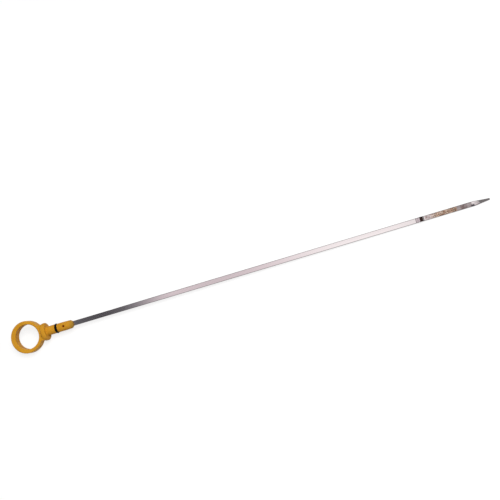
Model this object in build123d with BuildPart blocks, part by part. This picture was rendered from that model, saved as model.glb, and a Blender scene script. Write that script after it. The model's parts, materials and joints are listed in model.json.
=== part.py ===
# Engine oil dipstick: an amber moulded handle with a finger ring, a collar and a stem, a rubber ring in the
# stem's groove, and a long flat strip of spring steel with its level zone near the tip.
#
# Millimetres. The stick has its own axis, x, which runs from the handle to the tip, with 0 at the seat, the front
# face of the collar that stops on the guide tube. The whole part lies on the ground as it would come to rest, on
# the collar, the tip and one edge of the ring, so every sketch is placed on planes of that lying stick.
from build123d import *
from math import asin, atan2, cos, hypot, radians, sin
import os

os.makedirs("parts", exist_ok=True)

# Finger ring
ring_radius = 17.05
ring_thickness = 10.0
ring_rounding = 1.0
ring_to_collar = 1.0        # from the near side of the ring's circle to the collar's back, both on the axis
finger_hole_radius = 13.0
finger_hole_shift = 1.15    # towards the collar, which leaves the ring thickest where a finger pulls
root_width = 16.8           # the block that carries the ring on the collar
root_blend = 2.0            # hollow rounding where the block leaves the ring

# Collar, which stops on the mouth of the guide tube
collar_radius = 9.3
collar_thickness = 4.7
collar_rounding = 1.4

# Stem, which goes into the guide tube
neck_radius = 4.8
neck_rounding = 0.6
neck_length = 9.4           # from the seat to the groove
guide_radius = 4.65
guide_length = 9.0          # the straight stretch after the groove
taper_length = 6.1
taper_end_radius = 4.35
stem_end_length = 2.2       # the cone that finds the tube
stem_end_radius = 2.7
edge_break = 0.15

# Rubber ring and its groove
seal_section = 2.4
seal_outer_radius = 5.2
seal_side_room = 0.2
seal_floor_room = 0.05

# Steel strip
blade_width = 5.0
blade_thickness = 1.0
blade_edge_round = 0.3
tang_depth = 15.4           # how far the strip goes into the stem
key_hole_radius = 1.1       # hole in the tang that the moulding fills
key_hole_from_end = 2.6     # from the tang's end to that hole's centre
tip_distance = 470.7        # from the seat to the point

# Pressed kink, a low ridge across the strip, which keeps it from rattling in the tube
kink_start = 397.1
kink_half_length = 4.1
kink_height = 1.6
kink_bend_radius = 1.5

# Level zone, coined with crossed grooves on both faces
level_start = 412.7
level_length = 24.9
level_pitch = 2.2
groove_width = 0.6
groove_depth = 0.12
groove_angle = 45

# Twisted point: the strip turns and narrows a little, then tapers without turning
point_length = 17.6         # from the start of the twist to the tip
twist_length = 7.9
twist_angle = 46
twist_steps = 4
twist_end_width = 4.9
tip_width = 1.8

# Cross hole in the stem, where the mould held the strip
cross_hole_radius = 1.1
cross_hole_to_end = 9.75    # from the hole's centre to the end of the stem

# Places along the stick's axis
groove_start = neck_length
groove_end = groove_start + seal_section + 2 * seal_side_room
guide_end = groove_end + guide_length
taper_end = guide_end + taper_length
stem_end = taper_end + stem_end_length
tang_start = stem_end - tang_depth
seal_centre = (groove_start + groove_end) / 2
seal_centre_radius = seal_outer_radius - seal_section / 2
groove_floor_radius = seal_outer_radius - seal_section - seal_floor_room
ring_centre = -collar_thickness - ring_to_collar - ring_radius
finger_hole_centre = ring_centre + finger_hole_shift
twist_start = tip_distance - point_length
twist_end = twist_start + twist_length

# How the stick lies, with angles in radians. The collar's rim and the lower corner of the twisted strip set its
# slope, and the ring's lower edge sets its roll. Each pass brings the two nearer to rest.
ring_edge_reach = ring_radius - ring_rounding
ring_edge_height = ring_thickness / 2 - ring_rounding
slope = 0
for settling_pass in range(5):
    ring_axis_height = collar_radius - ring_centre * sin(slope)
    roll = asin((ring_axis_height - ring_rounding) / hypot(ring_edge_reach, ring_edge_height))
    roll -= atan2(ring_edge_height, ring_edge_reach)
    corner_turn = radians(twist_angle) - roll
    corner_drop = (
        (twist_end_width / 2 - blade_edge_round) * sin(corner_turn)
        + (blade_thickness / 2 - blade_edge_round) * cos(corner_turn)
        + blade_edge_round
    )
    slope = asin((collar_radius - corner_drop) / twist_end)
seat_height = (collar_radius - collar_rounding) * cos(slope) + collar_rounding * (1 - sin(slope))
seat_to_middle = (tip_distance + ring_centre - ring_radius) / 2

# x runs along the stick, y across the ring and the strip's width, z out of their upper faces
upright = Vector(sin(slope), 0, cos(slope))
stick = Plane(
    origin=(-seat_to_middle * cos(slope), 0, seat_height),
    x_dir=(cos(slope), 0, -sin(slope)),
    z_dir=upright * cos(roll) - Vector(0, 1, 0) * sin(roll),
)
# x runs along the stick, y out of the upper faces: the plane of profiles and of the strip's kink
side = Plane(origin=stick.origin, x_dir=stick.x_dir, z_dir=-stick.y_dir)
stick_axis = Axis(stick.origin, stick.x_dir)


def square_plane(distance, turn=0.0):
    """Plane square to the stick's axis, turned about it by some degrees."""
    place = stick.from_local_coords((distance, 0, 0))
    across = stick.y_dir * cos(radians(turn)) + stick.z_dir * sin(radians(turn))
    return Plane(origin=place, x_dir=across, z_dir=stick.x_dir)


def strip_section(width):
    """Section of the strip, with its rolled edges."""
    RectangleRounded(width, blade_thickness, blade_edge_round)


# The steel strip: one length with its kink, then the twisted and tapered point
with BuildPart() as blade:
    with BuildLine(side):
        FilletPolyline(
            (tang_start, 0),
            (kink_start, 0),
            (kink_start + kink_half_length, kink_height),
            (kink_start + 2 * kink_half_length, 0),
            (twist_start, 0),
            radius=kink_bend_radius,
        )
    with BuildSketch(square_plane(tang_start)):
        strip_section(blade_width)
    sweep()

    # The twist turns the upper edge down, and the taper starts while the strip still turns
    for step in range(twist_steps + 1):
        share = step / twist_steps
        with BuildSketch(square_plane(twist_start + share * twist_length, -share * twist_angle)):
            strip_section(blade_width - share**2 * (blade_width - twist_end_width))
    loft()
    with BuildSketch(square_plane(twist_end, -twist_angle)):
        strip_section(twist_end_width)
    with BuildSketch(square_plane(tip_distance, -twist_angle)):
        strip_section(tip_width)
    loft()

    # Crossed grooves of the level zone, whole from edge to edge
    groove_run = level_length - blade_width
    groove_count = int(groove_run / level_pitch) + 1
    with BuildSketch(stick.offset(blade_thickness / 2 - groove_depth)) as upper_grooves:
        with Locations((level_start + level_length / 2, 0)):
            with GridLocations(level_pitch, 1, groove_count, 1):
                Rectangle(2 * blade_width, groove_width, rotation=groove_angle)
                Rectangle(2 * blade_width, groove_width, rotation=-groove_angle)
    extrude(amount=blade_thickness, mode=Mode.SUBTRACT)
    with BuildSketch(stick.offset(groove_depth - blade_thickness / 2)):
        add(upper_grooves.sketch_local)
    extrude(amount=-blade_thickness, mode=Mode.SUBTRACT)

    # Hole in the tang, filled by the handle's plastic
    with BuildSketch(stick):
        with Locations((tang_start + key_hole_from_end, 0)):
            Circle(key_hole_radius)
    extrude(amount=blade_thickness, both=True, mode=Mode.SUBTRACT)

blade.part.label = "blade"

# The moulded handle
with BuildPart() as handle:
    # Ring and the block that carries it
    root_length = -ring_centre - collar_thickness / 2
    with BuildSketch(stick) as ring_outline:
        with Locations((ring_centre, 0)):
            Circle(ring_radius)
            with Locations((root_length / 2, 0)):
                Rectangle(root_length, root_width)
        ring_meets_root = ring_outline.vertices().group_by(Axis.X)[0]
        fillet(ring_meets_root, radius=root_blend)
        with Locations((finger_hole_centre, 0)):
            Circle(finger_hole_radius, mode=Mode.SUBTRACT)
    extrude(amount=ring_thickness / 2, both=True)
    flat_faces = handle.faces().filter_by(Axis(stick.origin, stick.z_dir))
    fillet(flat_faces.edges(), radius=ring_rounding)

    # Collar and stem, turned about the stick's axis
    with BuildSketch(side) as turned:
        with BuildLine():
            Polyline(
                (-collar_thickness, 0),
                (-collar_thickness, collar_radius),
                (0, collar_radius),
                (0, neck_radius),
                (groove_start, neck_radius),
                (groove_start, groove_floor_radius),
                (groove_end, groove_floor_radius),
                (groove_end, guide_radius),
                (guide_end, guide_radius),
                (taper_end, taper_end_radius),
                (stem_end, stem_end_radius),
                (stem_end, 0),
                close=True,
            )
        make_face()
        corners = turned.vertices()
        fillet(corners.group_by(Axis.Y)[-1], radius=collar_rounding)
        seat_corner = turned.vertices().sort_by_distance((0, neck_radius))[0]
        fillet(seat_corner, radius=neck_rounding)
        for corner in ((groove_start, neck_radius), (groove_end, guide_radius), (stem_end, stem_end_radius)):
            chamfer(turned.vertices().sort_by_distance(corner)[0], length=edge_break)
    revolve(axis=stick_axis)

    # Cross hole from both sides down to the strip, then the strip's own space with the key left in it
    with BuildSketch(stick):
        with Locations((stem_end - cross_hole_to_end, 0)):
            Circle(cross_hole_radius)
    extrude(amount=collar_radius, both=True, mode=Mode.SUBTRACT)
    add(blade.part, mode=Mode.SUBTRACT)

handle.part.label = "handle"

# The rubber ring
with BuildPart() as seal_ring:
    with BuildSketch(side):
        with Locations((seal_centre, seal_centre_radius)):
            Circle(seal_section / 2)
    revolve(axis=stick_axis)

seal_ring.part.label = "seal_ring"

for piece in (blade, handle, seal_ring):
    export_step(piece.part, f"parts/{piece.part.label}.step")
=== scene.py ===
# %% [markdown]
# # An engine oil dipstick
#
# The part is a finger ring, a collar and a stem moulded in one piece of amber plastic, a rubber ring in
# the stem's groove, and half a metre of flat spring steel that ends in a level zone and a twisted
# point. Their solids come ready made. This lesson gives each of them the surface that it has in
# daylight, puts two small etched letters on the steel, and sets up the camera, floor and light for the
# picture.

import bpy
import json
from math import cos, pi, radians, sin
from mathutils import Matrix, Vector


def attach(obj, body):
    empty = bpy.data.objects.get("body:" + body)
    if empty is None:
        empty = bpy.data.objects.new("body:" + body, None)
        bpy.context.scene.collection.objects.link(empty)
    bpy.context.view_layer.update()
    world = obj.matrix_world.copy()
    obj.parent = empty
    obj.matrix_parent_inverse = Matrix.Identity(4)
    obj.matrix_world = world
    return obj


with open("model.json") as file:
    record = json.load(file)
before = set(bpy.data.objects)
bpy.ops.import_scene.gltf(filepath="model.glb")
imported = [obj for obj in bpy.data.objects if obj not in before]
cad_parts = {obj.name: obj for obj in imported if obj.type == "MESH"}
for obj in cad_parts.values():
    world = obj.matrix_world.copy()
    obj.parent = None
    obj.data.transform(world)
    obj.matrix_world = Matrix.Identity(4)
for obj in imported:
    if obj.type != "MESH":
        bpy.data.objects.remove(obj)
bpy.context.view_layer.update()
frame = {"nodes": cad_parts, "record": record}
handle = frame["nodes"]["handle"]
seal_ring = frame["nodes"]["seal_ring"]
blade = frame["nodes"]["blade"]

# %% [markdown]
# ## The stick's own directions
#
# The dipstick lies as it would come to rest, a little rolled and with its point lower than its collar.
# Every mark on it is measured along the stick and not along the ground, so three directions are read
# from the frame: along the stick, across the strip, and out of the strip's upper face. The last one is
# square to the strip's largest facet, which lies on its flat upper or lower face. Distances along the
# stick count from the seat, which is the front face of the collar.

# %% Find the stick's directions
MM = 0.001
mounts = {mount["name"]: mount for mount in frame["record"]["mounts"]}
along = Vector(mounts["guide_stem"]["axis"]).normalized()
stem_middle = Vector(mounts["guide_stem"]["pos_m"])
seat_spot = Vector(mounts["tube_seat"]["pos_m"])
seat = stem_middle + along * (seat_spot - stem_middle).dot(along)
largest_facet = max(blade.data.polygons, key=lambda facet: facet.area)
upward = largest_facet.normal.copy()
if upward.z < 0:
    upward.negate()
across = upward.cross(along)
print("seat", tuple(seat), "along", tuple(along), "across", tuple(across), "upward", tuple(upward))

# %% [markdown]
# The finishes and letters need a few sizes of the solids. They are measured on the meshes, in
# millimetres from the seat or from the middle of the strip, so that they stay true if the solids
# change.


# %% Measure the solids
def reach(piece, direction):
    """How far a piece reaches from the seat in a direction, in millimetres."""
    return max((vertex.co - seat).dot(direction) for vertex in piece.data.vertices) / MM


stem_end = reach(handle, along)
tip_distance = reach(blade, along)
half_thickness = abs((largest_facet.center - seat).dot(upward)) / MM
print(f"stem end {stem_end:.3f}, tip {tip_distance:.3f}, half the strip's thickness {half_thickness:.3f} mm")

# %% [markdown]
# ## Camera
#
# The picture is taken from above, with the point a little nearer than the ring. The camera looks at a
# spot close to the middle of the stick, and is turned about its own line of sight until the stick rises
# to the right.

# %% Place the camera
look_at = Vector((0.01389, 0.02195, 0.005))
camera_distance = 0.77088
camera_azimuth = radians(19.48)
camera_elevation = radians(65.46)
camera_roll = radians(35.08)
focal_length = 54.0
sensor_width = 36.0

forward = Vector((-sin(camera_azimuth), cos(camera_azimuth), 0)) * cos(camera_elevation)
forward.z = -sin(camera_elevation)
level_right = Vector((cos(camera_azimuth), sin(camera_azimuth), 0))
level_up = level_right.cross(forward)
camera_up = level_up * cos(camera_roll) + level_right * sin(camera_roll)
camera_right = forward.cross(camera_up)

bpy.ops.object.select_all(action="DESELECT")
bpy.ops.object.camera_add()
camera = bpy.context.active_object
camera.name = "picture_camera"
turn = Matrix((camera_right, camera_up, -forward)).transposed()
camera.matrix_world = Matrix.Translation(look_at - forward * camera_distance) @ turn.to_4x4()
camera.data.lens = focal_length
camera.data.sensor_width = sensor_width
camera.data.clip_end = 50
bpy.context.scene.camera = camera
print("camera at", tuple(camera.matrix_world.translation))

# %% [markdown]
# ## Shader maths in Python
#
# A finish is a graph of nodes, and most of them do sums. A small class stands for one output socket, so
# that `1 - mask * 0.5` adds the Math nodes by itself. Everything else goes through one method, `node`,
# which sets a node's own settings first and then its inputs.


# %% Write shader maths
class Value:
    """One output of a node tree, on which + - * / and abs add Math nodes."""

    def __init__(self, shader, socket):
        self.shader = shader
        self.socket = socket

    def __add__(self, other):
        return self.shader.maths("ADD", self, other)

    def __sub__(self, other):
        return self.shader.maths("SUBTRACT", self, other)

    def __rsub__(self, other):
        return self.shader.maths("SUBTRACT", other, self)

    def __mul__(self, other):
        return self.shader.maths("MULTIPLY", self, other)

    def __truediv__(self, other):
        return self.shader.maths("DIVIDE", self, other)

    def __abs__(self):
        return self.shader.maths("ABSOLUTE", self)

    __radd__ = __add__
    __rmul__ = __mul__


class Shader:
    """A node tree that is written as expressions."""

    def __init__(self, tree):
        self.tree = tree
        tree.nodes.clear()

    def node(self, kind, settings=None, inputs=None, output=0):
        """Adds a node, sets its settings, fills its inputs and gives one of its outputs."""
        made = self.tree.nodes.new(kind)
        for name, setting in (settings or {}).items():
            setattr(made, name, setting)
        for name, given in (inputs or {}).items():
            if isinstance(given, Value):
                self.tree.links.new(given.socket, made.inputs[name])
            else:
                made.inputs[name].default_value = given
        return Value(self, made.outputs[output] if made.outputs else None)

    def maths(self, operation, *terms):
        """Adds a Math node."""
        return self.node("ShaderNodeMath", {"operation": operation}, dict(enumerate(terms)))

    def vector_maths(self, operation, *terms, output=0):
        """Adds a Vector Math node, whose output 1 is a number."""
        return self.node("ShaderNodeVectorMath", {"operation": operation}, dict(enumerate(terms)), output)

    def rise(self, value, low, high, shape="SMOOTHSTEP"):
        """0 below low, 1 above high, and a rise between them."""
        limits = {0: value, 1: low, 2: high, 3: 0.0, 4: 1.0}
        return self.node("ShaderNodeMapRange", {"interpolation_type": shape}, limits)

    def between(self, value, low, high, soft):
        """1 from low to high, with edges that take a stretch of soft."""
        start = self.rise(value, low - soft / 2, low + soft / 2)
        return start * (1 - self.rise(value, high - soft / 2, high + soft / 2))

    def mix(self, share, first, second):
        """Colour that goes from first to second as share goes from 0 to 1."""
        return self.node("ShaderNodeMix", {"data_type": "RGBA"}, {0: share, 6: first, 7: second}, 2)

    def noise(self, place, size, detail):
        """Cloudy noise from 0 to 1 whose lumps are about size millimetres, at a place in millimetres."""
        fill = {"Vector": place, "Scale": 1 / size, "Detail": detail}
        return self.node("ShaderNodeTexNoise", None, fill, "Fac")


# %% [markdown]
# ## Where a point of the surface is on the stick
#
# Object coordinates are places in metres. Three dot products turn them into distances along, across and
# out of the stick, in millimetres, so a stain or a band can be given by the distance at which it was
# measured.


# %% Give shaders the stick's distances
class StickFinish(Shader):
    """A material whose patterns are laid out along the stick."""

    def __init__(self, name):
        self.material = bpy.data.materials.new(name)
        self.material.use_nodes = True
        super().__init__(self.material.node_tree)
        place = self.node("ShaderNodeTexCoord", output="Object")
        from_seat = self.vector_maths("SUBTRACT", place, seat)
        in_millimetres = self.vector_maths("MULTIPLY", from_seat, (1 / MM,) * 3)
        self.along = self.vector_maths("DOT_PRODUCT", in_millimetres, along, output=1)
        self.across = self.vector_maths("DOT_PRODUCT", in_millimetres, across, output=1)
        self.above = self.vector_maths("DOT_PRODUCT", in_millimetres, upward, output=1)

    def stretched(self, length_share=1.0, width_share=1.0):
        """The place on the stick, with its length and its two widths multiplied by their shares."""
        scaled = (self.along * length_share, self.across * width_share, self.above * width_share)
        return self.node("ShaderNodeCombineXYZ", None, dict(enumerate(scaled)))

    def bump(self, height, depth, under=None):
        """Normal of a surface that is raised by height times a depth in millimetres."""
        fill = {"Distance": depth * MM, "Height": height}
        if under:
            fill["Normal"] = under
        return self.node("ShaderNodeBump", None, fill, "Normal")

    def finish(self, **inputs):
        """Adds the surface shader with its inputs, whose names are written with _ for a space."""
        fill = {name.replace("_", " "): given for name, given in inputs.items()}
        surface = self.node("ShaderNodeBsdfPrincipled", None, fill)
        self.node("ShaderNodeOutputMaterial", None, {"Surface": surface})


def dress(piece, shader):
    """Gives a piece one material."""
    piece.data.materials.clear()
    piece.data.materials.append(shader.material)
    print(piece.name, "wears", shader.material.name, "with", len(shader.tree.nodes), "nodes")


# %% [markdown]
# ## Amber plastic
#
# The handle is a glass-filled nylon in a warm amber, which is how a driver finds it under the bonnet.
# Such a plastic is satin: the light that it throws back is mostly its own colour, so its mirror share
# is kept low. The colour is a little cloudy from the flow of the melt. Painted shade makes it deeper
# in the cross hole and olive at the stem's end. A fine grain breaks up the gloss, and the line where
# the two halves of the mould met runs round the edge of the ring and along both sides of the stem.

# %% Amber plastic
cross_hole_distance = stem_end - 9.75
cross_hole_radius = 1.1
hole_rim = 0.15
end_shade_length = 4.5
cloud_size = 9.0
grain_size = 0.35
mould_line_half_width = 0.08
amber = (0.65, 0.31, 0.024, 1)
deep_amber = (0.55, 0.245, 0.012, 1)
painted_hole_shade = (0.45, 0.07, 0.006, 1)
end_shade_amber = (0.36, 0.21, 0.035, 1)

plastic = StickFinish("amber_plastic")
melt_clouds = plastic.rise(plastic.noise(plastic.stretched(), cloud_size, 3), 0.3, 0.7)
grain = plastic.noise(plastic.stretched(), grain_size, 2)
mould_line = plastic.between(
    plastic.above, -mould_line_half_width, mould_line_half_width, mould_line_half_width
)
from_hole = plastic.along - cross_hole_distance
from_hole_squared = from_hole * from_hole + plastic.across * plastic.across
# Painted shade: the walls of the cross hole are drawn in a deeper brown.
in_hole_shade = 1 - plastic.rise(from_hole_squared, cross_hole_radius**2, (cross_hole_radius + hole_rim) ** 2)
moulded = plastic.mix(melt_clouds * 0.7, amber, deep_amber)
# Painted shade: the stem's end is drawn darker and olive.
end_shade = plastic.rise(plastic.along, stem_end - end_shade_length, stem_end - 0.5)
moulded = plastic.mix(end_shade * (0.4 + melt_clouds * 0.5), moulded, end_shade_amber)
plastic.finish(
    Base_Color=plastic.mix(in_hole_shade, moulded, painted_hole_shade),
    Roughness=0.42 + melt_clouds * 0.16,
    Specular_IOR_Level=0.15,
    Normal=plastic.bump(grain, 0.02, plastic.bump(mould_line, 0.05)),
)
dress(handle, plastic)

# %% [markdown]
# ## Black rubber
#
# The ring in the groove is a nitrile cord. It is black all through and wiped clean by the guide tube,
# so it only gets a trace of dust and a broad, weak gloss.

# %% Black rubber
dust_size = 0.8
rubber_black = (0.002, 0.002, 0.002, 1)
dusty_black = (0.007, 0.006, 0.006, 1)

rubber = StickFinish("seal_rubber")
dust = rubber.noise(rubber.stretched(), dust_size, 3)
rubber.finish(
    Base_Color=rubber.mix(dust, rubber_black, dusty_black),
    Roughness=0.5 + dust * 0.2,
    Specular_IOR_Level=0.08,
)
dress(seal_ring, rubber)

# %% [markdown]
# ## Bright steel
#
# The strip is cold-rolled spring steel. It mirrors the room with a little blur, which changes from one
# rolling streak to the next. Its slit edges are darkened with painted shade. Most of its character is at
# the far end: a kink whose far slope carries a painted dark reflection in black, a level zone whose
# crossed grooves hold brown oil residue, and a point that turns out of the plane. The strip's own width
# and thickness turn with the point, so the two directions across it are turned back first, and every
# pattern after that is drawn as if the strip were straight.

# %% Steel, straightened
half_width = 2.5
tip_half_width = 0.9
point_length = 17.6
twist_length = 7.9
twist_angle = radians(46)
twist_start = tip_distance - point_length
twist_end = twist_start + twist_length

steel = StickFinish("rolled_steel")
twist = steel.rise(steel.along, twist_start, twist_end, "LINEAR") * twist_angle
twist_cosine = steel.maths("COSINE", twist)
twist_sine = steel.maths("SINE", twist)
strip_across = steel.across * twist_cosine - steel.above * twist_sine
strip_above = steel.across * twist_sine + steel.above * twist_cosine
steel.across = strip_across
steel.above = strip_above
taper = steel.rise(steel.along, twist_end, tip_distance, "LINEAR")
from_edge = half_width - taper * (half_width - tip_half_width) - abs(steel.across)
print(f"the strip turns from {twist_start:.1f} to {twist_end:.1f} mm from the seat")

# %% [markdown]
# The grooves of the level zone cross at right angles, each family at 45 degrees to the stick. Along a
# line across one family, the distance to the nearest groove goes up and down like a zigzag, which is
# what the Ping-Pong operation gives. The grooves are 0.6 mm wide. Residue fills the middle of each and
# has crept a little over its edges. Where grooves of both families meet, it is thickest.

# %% Level zone
level_start = 412.7
level_length = 24.9
groove_pitch = 2.2
residue_full = 0.22
residue_edge = 0.44
level_end = level_start + level_length
level_middle = (level_start + level_end) / 2


def groove_mask(side):
    """1 in the grooves that slant to one side, 0 on the lands between them."""
    steps = (steel.along + steel.across * side - level_middle) / groove_pitch
    off_groove = steel.maths("PINGPONG", steps + 0.5, 0.5) * (groove_pitch * sin(pi / 4))
    return 1 - steel.rise(off_groove, residue_full, residue_edge)


rising = groove_mask(-1)
falling = groove_mask(1)
in_zone = steel.between(steel.along, level_start - 0.6, level_end + 0.4, 1.4)
grooves = steel.maths("MAXIMUM", rising, falling) * in_zone
crossings = rising * falling * in_zone
print(f"level zone from {level_start:.1f} to {level_end:.1f} mm from the seat")

# %% [markdown]
# The steel gets its colour in coats, and each coat needs a mask that says where it lies and how thick.
# Long, narrow noise gives the streaks of rolling, and rounder noise gives smudges, patches, blots and
# drops. A stain begins beyond the kink, soot begins at the end of the level zone, and the film of oil
# thickens over the first quarter of the zone. A rag has wiped some spots of the zone clean, but not in
# its last stretch.

# %% Where the coats lie
kink_start = 397.1
kink_half_length = 4.1
kink_crest = kink_start + kink_half_length
kink_end = kink_crest + kink_half_length
stain_start = kink_end + 1.0
soot_start = level_end - 1.5
stain_end = twist_start - 0.4

streaks = steel.noise(steel.stretched(0.01, 2.6), 1.0, 3)
smudges = steel.noise(steel.stretched(0.3, 1.0), 4.0, 3)
patches = steel.rise(steel.noise(steel.stretched(0.6, 0.8), 1.5, 3), 0.36, 0.64)
blots = steel.rise(steel.noise(steel.stretched(), 2.4, 1), 0.44, 0.58)
drops = steel.noise(steel.stretched(0.9, 1.1), 2.3, 1)
dried = steel.rise(drops, 0.49, 0.57)
wiped = steel.rise(drops, 0.44, 0.37) * steel.rise(steel.along, level_end - 3, level_end - 7)
oil_share = 0.1 + 0.8 * steel.rise(steel.along, level_start - 1.5, level_start + 6.5)
stain = steel.between(steel.along, stain_start, stain_end, 1.2) * (0.3 + blots * 0.6)
soot = steel.between(steel.along, soot_start, stain_end, 2.0) * steel.rise(smudges, 0.2, 0.55)
oil_film = steel.maths("MINIMUM", in_zone * oil_share, 1.0)
residue = steel.maths("MINIMUM", 0.15 + oil_share * (0.2 + patches), 1.0)
print(f"stain from {stain_start:.1f} and soot from {soot_start:.1f} to {stain_end:.1f} mm from the seat")

# %% [markdown]
# The coats go on as the steel got them: clean metal with faint streaks, the stain, the soot, the dry
# film of oil, and thicker residue in the grooves and in dried drops. The wiped spots come last. Each
# coat is one Mix node over all that lies under it.

# %% Coats of colour
bright_steel = (0.79, 0.72, 0.72, 1)
dull_steel = (0.66, 0.60, 0.61, 1)
stained_steel = (0.40, 0.29, 0.28, 1)
sooty_steel = (0.37, 0.315, 0.32, 1)
oil_tan = (0.66, 0.44, 0.32, 1)
oil_khaki = (0.48, 0.41, 0.32, 1)
oil_brown = (0.17, 0.085, 0.055, 1)
burnt_oil = (0.06, 0.03, 0.02, 1)
oil_pale = (0.86, 0.70, 0.60, 1)

colour = steel.mix(streaks, bright_steel, dull_steel)
colour = steel.mix(stain, colour, stained_steel)
colour = steel.mix(soot, colour, sooty_steel)
colour = steel.mix(oil_film, colour, steel.mix(patches, oil_tan, oil_khaki))
colour = steel.mix(grooves * residue, colour, oil_brown)
colour = steel.mix(crossings * residue, colour, burnt_oil)
colour = steel.mix(dried * in_zone * (0.2 + oil_share * 0.5), colour, oil_brown)
colour = steel.mix(wiped * in_zone * 0.4, colour, oil_pale)
print("coats of colour after", len(steel.tree.nodes), "nodes")

# %% [markdown]
# Three local marks follow. A brown smear lies round the low mark, the slit edges get painted shade,
# and one side of the strip gets a painted dark reflection where the twist begins.

# %% Smear, edges and twist
smear_start = 442.0
smear_end = 448.0
dark_edge_width = 0.72
smear_brown = (0.16, 0.10, 0.095, 1)
edge_shade_steel = (0.11, 0.095, 0.095, 1)
twist_dark_reflection = (0.09, 0.08, 0.09, 1)

smear = steel.between(steel.along, smear_start, smear_end, 2.0) * (0.3 + patches * 0.55)
colour = steel.mix(smear, colour, smear_brown)
# Painted shade along the slit edges of the strip.
edge = 1 - steel.rise(from_edge, 0.1, dark_edge_width)
colour = steel.mix(edge * 0.9, colour, edge_shade_steel)
# Painted dark reflection on the low side of the strip where the twist begins.
low_side = steel.rise(steel.across, 0.1, -0.9)
twist_shade = steel.between(steel.along, twist_start - 1.2, twist_start + 2.2, 1.2) * low_side
colour = steel.mix(twist_shade, colour, twist_dark_reflection)
print(f"smear from {smear_start:.1f} to {smear_end:.1f} mm from the seat")

# %% [markdown]
# The kink is creased where it starts and once more on its near slope, and painted shade darkens the
# line of each crease. Its far slope gets a painted dark reflection in brown-black. Under the cross hole
# of the stem, the steel is in the shade of brown plastic, and that shade is painted on. The tool that
# pressed the kink left fine lines across the near slope. They are too small for the solids, so a Bump
# node tilts the light there without moving the surface. Where oil, the painted reflection or the
# painted shade under the hole covers the metal, it is less of a mirror and rougher.

# %% Kink, cross hole and finish
second_crease = kink_start + 2.0
band_start = kink_crest - 0.5
band_end = kink_end - 1.35
shade_and_reflection_black = (0.026, 0.013, 0.012, 1)
hole_shade = 0.2
die_line_pitch = 0.9
die_line_depth = 0.02


def crease(distance, width):
    """1 on a line across the strip at a distance from the seat, with soft edges."""
    return steel.between(steel.along, distance - width / 2, distance + width / 2, 0.3)


# Painted shade in the two crease lines of the kink, and a painted dark reflection on its far slope.
crease_shade = steel.maths("MAXIMUM", crease(kink_start, 0.7) * 0.5, crease(second_crease, 0.5) * 0.35)
band = steel.between(steel.along, band_start, band_end, 0.25) * steel.rise(from_edge, 0.05, 0.2)
colour = steel.mix(steel.maths("MAXIMUM", crease_shade, band), colour, shade_and_reflection_black)
# Painted shade on the steel under the cross hole, in the brown of the hole.
from_cross_hole = abs(steel.along - cross_hole_distance)
under_hole = 1 - steel.rise(from_cross_hole, cross_hole_radius, cross_hole_radius + hole_shade)
colour = steel.mix(under_hole, colour, painted_hole_shade)
on_near_slope = steel.between(steel.along, kink_start + 0.3, kink_crest - 0.2, 0.2)
die_lines = steel.maths("SINE", steel.along * (2 * pi / die_line_pitch)) * on_near_slope
dullness = steel.maths("MAXIMUM", oil_film * 0.5, steel.maths("MAXIMUM", band, under_hole))
steel.finish(
    Base_Color=colour,
    Metallic=1 - dullness,
    Roughness=0.07 + streaks * 0.05 + smudges * 0.03 + dullness * 0.3,
    Specular_IOR_Level=0.1,
    Normal=steel.bump(die_lines, die_line_depth),
)
dress(blade, steel)

# %% [markdown]
# ## Level marks
#
# A driver reads the oil between two marks, so a small F, for full, stands before the level zone and a
# small L, for low, stands after it. On the steel they are etched and hold dark residue. A text object
# becomes a mesh while it still lies at the origin, and is then carried to its place on the strip, with
# the move applied to its mesh.

# %% Level marks
letter_size = 3.6
etch_half_depth = 0.015
full_mark_distance = 408.4
low_mark_distance = 445.4
wear_size = 0.7
etched_brown = (0.05, 0.032, 0.03, 1)
worn_brown = (0.20, 0.13, 0.12, 1)

etch = StickFinish("etched_mark")
wear = etch.noise(etch.stretched(), wear_size, 3)
etch.finish(
    Base_Color=etch.mix(etch.rise(wear, 0.35, 0.65), etched_brown, worn_brown),
    Roughness=0.45 + wear * 0.3,
    Specular_IOR_Level=0.2,
)


def etch_letter(letter, name, distance):
    """One letter on the strip's upper face, centred at a distance from the seat."""
    bpy.ops.object.select_all(action="DESELECT")
    bpy.ops.object.text_add()
    mark = bpy.context.active_object
    mark.name = name
    mark.data.body = letter
    mark.data.align_x = "CENTER"
    mark.data.align_y = "CENTER"
    mark.data.size = letter_size * MM
    mark.data.extrude = etch_half_depth * MM
    bpy.ops.object.convert(target="MESH")
    mark = bpy.context.active_object
    axes = Matrix((along, across, upward)).transposed().to_4x4()
    place = seat + (along * distance + upward * (half_thickness + etch_half_depth)) * MM
    mark.matrix_world = Matrix.Translation(place) @ axes
    bpy.ops.object.transform_apply(location=True, rotation=True, scale=True)
    dress(mark, etch)
    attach(mark, "root")
    print(name, "is", tuple(round(side / MM, 2) for side in mark.dimensions), "mm")


etch_letter("F", "full_mark", full_mark_distance)
etch_letter("L", "low_mark", low_mark_distance)

# %% [markdown]
# ## Paper floor
#
# The picture has a plain white ground. A diffuse sheet alone would come out grey or need stronger
# lamps, which would bleach the plastic. So what the camera and the steel see of the sheet is part
# diffuse and part its own glow, and the soft shadow of the stick still shows on the diffuse part. Other
# rays meet a plain grey sheet, so the glow throws no light on plastic and rubber.

# %% Floor
floor_side = 12
paper_grey = (0.42, 0.42, 0.42, 1)
seen_grey = (0.25, 0.25, 0.25, 1)
white = (1, 1, 1, 1)
paper_glow = 0.78

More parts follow.
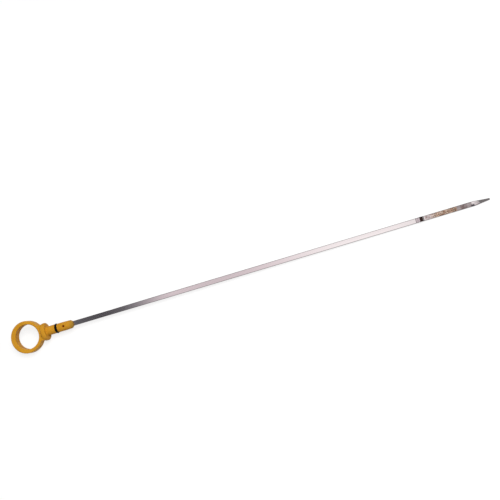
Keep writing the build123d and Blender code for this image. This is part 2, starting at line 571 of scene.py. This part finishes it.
bpy.ops.object.select_all(action="DESELECT")
bpy.ops.mesh.primitive_plane_add(size=floor_side)
floor = bpy.context.active_object
floor.name = "floor"
paper = bpy.data.materials.new("paper")
paper.use_nodes = True
sheet = Shader(paper.node_tree)
plain_sheet = sheet.node("ShaderNodeBsdfDiffuse", None, {"Color": paper_grey})
seen_sheet = sheet.node("ShaderNodeBsdfDiffuse", None, {"Color": seen_grey})
glow = sheet.node("ShaderNodeEmission", None, {"Color": white, "Strength": paper_glow})
glowing_sheet = sheet.node("ShaderNodeAddShader", None, {0: seen_sheet, 1: glow})
camera_ray = sheet.node("ShaderNodeLightPath", output="Is Camera Ray")
glossy_ray = sheet.node("ShaderNodeLightPath", output="Is Glossy Ray")
seen = sheet.maths("MAXIMUM", camera_ray, glossy_ray)
surface = sheet.node("ShaderNodeMixShader", None, {0: seen, 1: plain_sheet, 2: glowing_sheet})
sheet.node("ShaderNodeOutputMaterial", None, {"Surface": surface})
floor.data.materials.append(paper)
print("paper floor of", floor_side, "m with", len(sheet.tree.nodes), "nodes")

# %% [markdown]
# ## Light
#
# One large lamp hangs almost overhead, a little towards the point, and a plain sky fills the shadows.
# Mirrors do not see the lamp. A flat mirror such as the strip shows what is above it, and that is a
# studio of its own: a soft box that fades out towards the handle, a bright panel past its dark end, and
# walls of different greys all round. Directions are divided by their height, which gives places on a
# ceiling one unit above the stick.

# %% Overhead lamp
lamp_place = Vector((0.48, 0.03, 1.45))
lamp_side = 1.0
lamp_watts = 22.5

bpy.ops.object.select_all(action="DESELECT")
bpy.ops.object.light_add(type="AREA")
lamp = bpy.context.active_object
lamp.name = "overhead_lamp"
lamp.data.shape = "SQUARE"
lamp.data.size = lamp_side
lamp.data.energy = lamp_watts
lamp.visible_glossy = False
lamp_turn = (-lamp_place).to_track_quat("-Z", "Y")
lamp.matrix_world = Matrix.Translation(lamp_place) @ lamp_turn.to_matrix().to_4x4()
print("lamp at", tuple(lamp_place), "with", lamp_watts, "W")

# %% [markdown]
# The soft box gets brighter and darker in steps along x, which is nearly along the stick, so each step
# is the change that it brings and the two places between which it comes. Along y it only fades a little
# towards its far side. Near the horizon a direction has almost no height, so the height that divides it
# has a least value.

# %% Mirrored soft box
least_height = 0.05
box_start = -0.37
box_end = 0.95
box_near = -1.3
box_far = 2.5
box_dark_end = 0.07
box_steps = (
    (0.20, -0.304, -0.285),
    (0.65, -0.283, -0.247),
    (-0.12, -0.225, -0.18),
    (0.45, -0.16, 0.02),
    (-0.40, 0.10, 0.15),
    (0.25, 0.22, 0.34),
)

world = bpy.data.worlds.new("studio")
bpy.context.scene.world = world
world.use_nodes = True
sky = Shader(world.node_tree)
direction = sky.node("ShaderNodeTexCoord", output="Generated")
height = sky.vector_maths("DOT_PRODUCT", direction, (0, 0, 1), output=1)
height = sky.maths("MAXIMUM", height, least_height)
ceiling_x = sky.vector_maths("DOT_PRODUCT", direction, (1, 0, 0), output=1) / height
ceiling_y = sky.vector_maths("DOT_PRODUCT", direction, (0, 1, 0), output=1) / height
box_light = box_dark_end
for change, start, end in box_steps:
    box_light = box_light + change * sky.rise(ceiling_x, start, end)
far_fall = 1 - 0.2 * sky.rise(ceiling_y, 0.2, 0.5) - 0.15 * sky.rise(ceiling_y, 0.8, 1.2)
box_shape = sky.between(ceiling_x, box_start, box_end, 0.02)
box_shape = box_shape * sky.between(ceiling_y, box_near, box_far, 0.5)
soft_box = box_shape * box_light * far_fall
print("soft box from", box_start, "to", box_end, "in", len(box_steps), "steps")

# %% [markdown]
# The panel and the walls are plainer parts. Where parts overlap, the brighter one wins, and nothing
# that a mirror sees is quite black. The studio's light is cool at the dark end of the soft box, rosy
# beyond it on both sides, and white over the point.

# %% Mirrored walls and tint
darkest_mirror = 0.05
panel_end = -0.375
panel_dim = 0.22
panel_bright = 0.95
near_wall_light = 0.45
far_wall_light = 0.22
end_wall_light = 0.45
cool_white = (0.97, 1.02, 1.14, 1)
rosy_white = (1.03, 0.95, 0.99, 1)

panel_light = panel_dim + (panel_bright - panel_dim) * sky.rise(ceiling_x, -0.5, -0.6)
panel = sky.between(ceiling_x, -2.5, panel_end, 0.01) * panel_light
near_wall = sky.between(ceiling_y, -20, box_near, 0.2) * near_wall_light
far_wall = sky.rise(ceiling_y, 2.2, 2.8) * far_wall_light
end_wall = sky.rise(ceiling_x, 1.0, 1.3) * end_wall_light
mirrored = darkest_mirror
for part in (soft_box, panel, near_wall, far_wall, end_wall):
    mirrored = sky.maths("MAXIMUM", mirrored, part)
tint = sky.mix(sky.between(ceiling_x, -0.45, -0.27, 0.04), rosy_white, cool_white)
tint = sky.mix(sky.rise(ceiling_x, -0.12, 0.0), tint, white)
print("mirrored studio of", len(sky.tree.nodes), "nodes")

# %% [markdown]
# The world answers three kinds of ray in three ways. The camera sees the white of the far paper,
# diffuse surfaces get a plain even sky, and only mirrors see the studio. The Standard view shows each
# colour about as it is written.

# %% World and view
far_paper = 0.86
sky_light = 0.28

camera_ray = sky.node("ShaderNodeLightPath", output="Is Camera Ray")
glossy_ray = sky.node("ShaderNodeLightPath", output="Is Glossy Ray")
surface_light = glossy_ray * mirrored + (1 - glossy_ray) * sky_light
strength = camera_ray * far_paper + (1 - camera_ray) * surface_light
tint = sky.mix(glossy_ray, white, tint)
background = sky.node("ShaderNodeBackground", None, {"Color": tint, "Strength": strength})
sky.node("ShaderNodeOutputWorld", None, {"Surface": background})
bpy.context.scene.view_settings.view_transform = "Standard"
print("world with", len(sky.tree.nodes), "nodes, seen by the camera at", far_paper)
